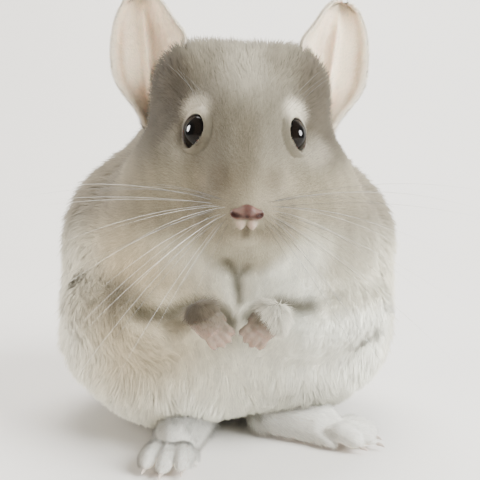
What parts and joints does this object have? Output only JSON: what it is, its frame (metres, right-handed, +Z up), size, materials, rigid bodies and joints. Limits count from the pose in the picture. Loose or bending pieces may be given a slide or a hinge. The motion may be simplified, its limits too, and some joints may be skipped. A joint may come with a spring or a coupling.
{
  "type": "chinchilla",
  "caption": "Life-size chinchilla sitting up on its hind feet with its forepaws held together, in one fixed pose.",
  "frame": {"origin": "on the floor under the middle of the whole animal's box", "axes": "the animal faces -Y, its left side is +X, +Z is up"},
  "size_m": [0.1816, 0.2676, 0.1773],
  "materials": {
    "coat": "soft dense fur",
    "ear_skin": "thin bare skin with fine hair",
    "paw_skin": "soft skin with short hair",
    "eye": "wet gloss",
    "claw": "smooth horn"
  },
  "bodies": {
    "root": {"head": "coat", "torso": "coat", "ear_right": "ear_skin", "eye_right": "eye", "thigh_right": "coat", "arm_right": "coat", "hand_right": "paw_skin", "hand_claw_right_1": "claw", "hand_claw_right_2": "claw", "hand_claw_right_3": "claw", "hand_claw_right_4": "claw", "foot_right": "paw_skin", "foot_claw_right_1": "claw", "foot_claw_right_2": "claw", "foot_claw_right_3": "claw", "ear_left": "ear_skin", "eye_left": "eye", "thigh_left": "coat", "arm_left": "coat", "hand_left": "paw_skin", "hand_claw_left_1": "claw", "hand_claw_left_2": "claw", "hand_claw_left_3": "claw", "hand_claw_left_4": "claw", "foot_left": "paw_skin", "foot_claw_left_1": "claw", "foot_claw_left_2": "claw", "foot_claw_left_3": "claw", "tail_base": "coat", "tail_brush": "coat"}
  },
  "joints": []
}
